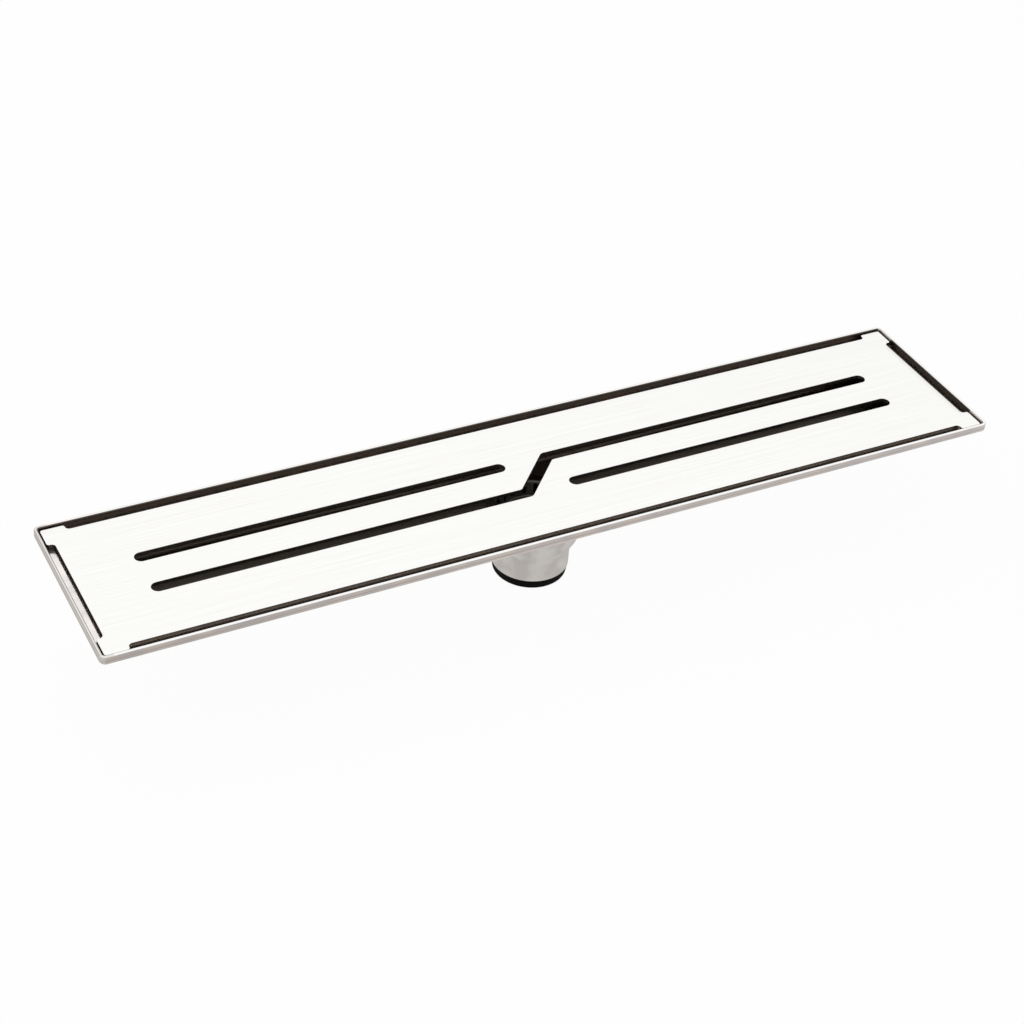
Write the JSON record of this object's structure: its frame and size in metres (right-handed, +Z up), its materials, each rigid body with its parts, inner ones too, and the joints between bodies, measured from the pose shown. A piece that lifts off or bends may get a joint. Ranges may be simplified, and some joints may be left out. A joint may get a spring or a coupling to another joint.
{
  "type": "linear shower drain",
  "caption": "Long steel floor drain: hemmed tray, lift-out cover with straight and Z-shaped slots, and a round outlet below that holds a strainer and a bell trap.",
  "frame": {"origin": "on the surface that the drain stands on, below the middle of the outlet", "axes": "+X along the tray, +Y across it, +Z up through the cover"},
  "size_m": [0.61, 0.127, 0.075],
  "materials": {
    "cover_steel": "satin polished stainless plate",
    "tray_steel": "bright stainless sheet, folded and hemmed",
    "neck_steel": "drawn stainless, satin",
    "strainer_steel": "pressed stainless, bright",
    "knob_steel": "turned stainless",
    "seal_rubber": "moulded black rubber, matt",
    "pad_rubber": "cut black rubber sheet, matt",
    "trap_plastic": "moulded black polypropylene"
  },
  "bodies": {
    "root": {"channel_tray": "tray_steel", "cover_plate": "cover_steel", "cover_pads": "pad_rubber", "outlet_neck": "neck_steel", "outlet_seal_ring": "seal_rubber", "trap_cup": "trap_plastic", "hair_strainer": "strainer_steel", "trap_bell": "strainer_steel", "lift_knob": "knob_steel"}
  },
  "joints": []
}
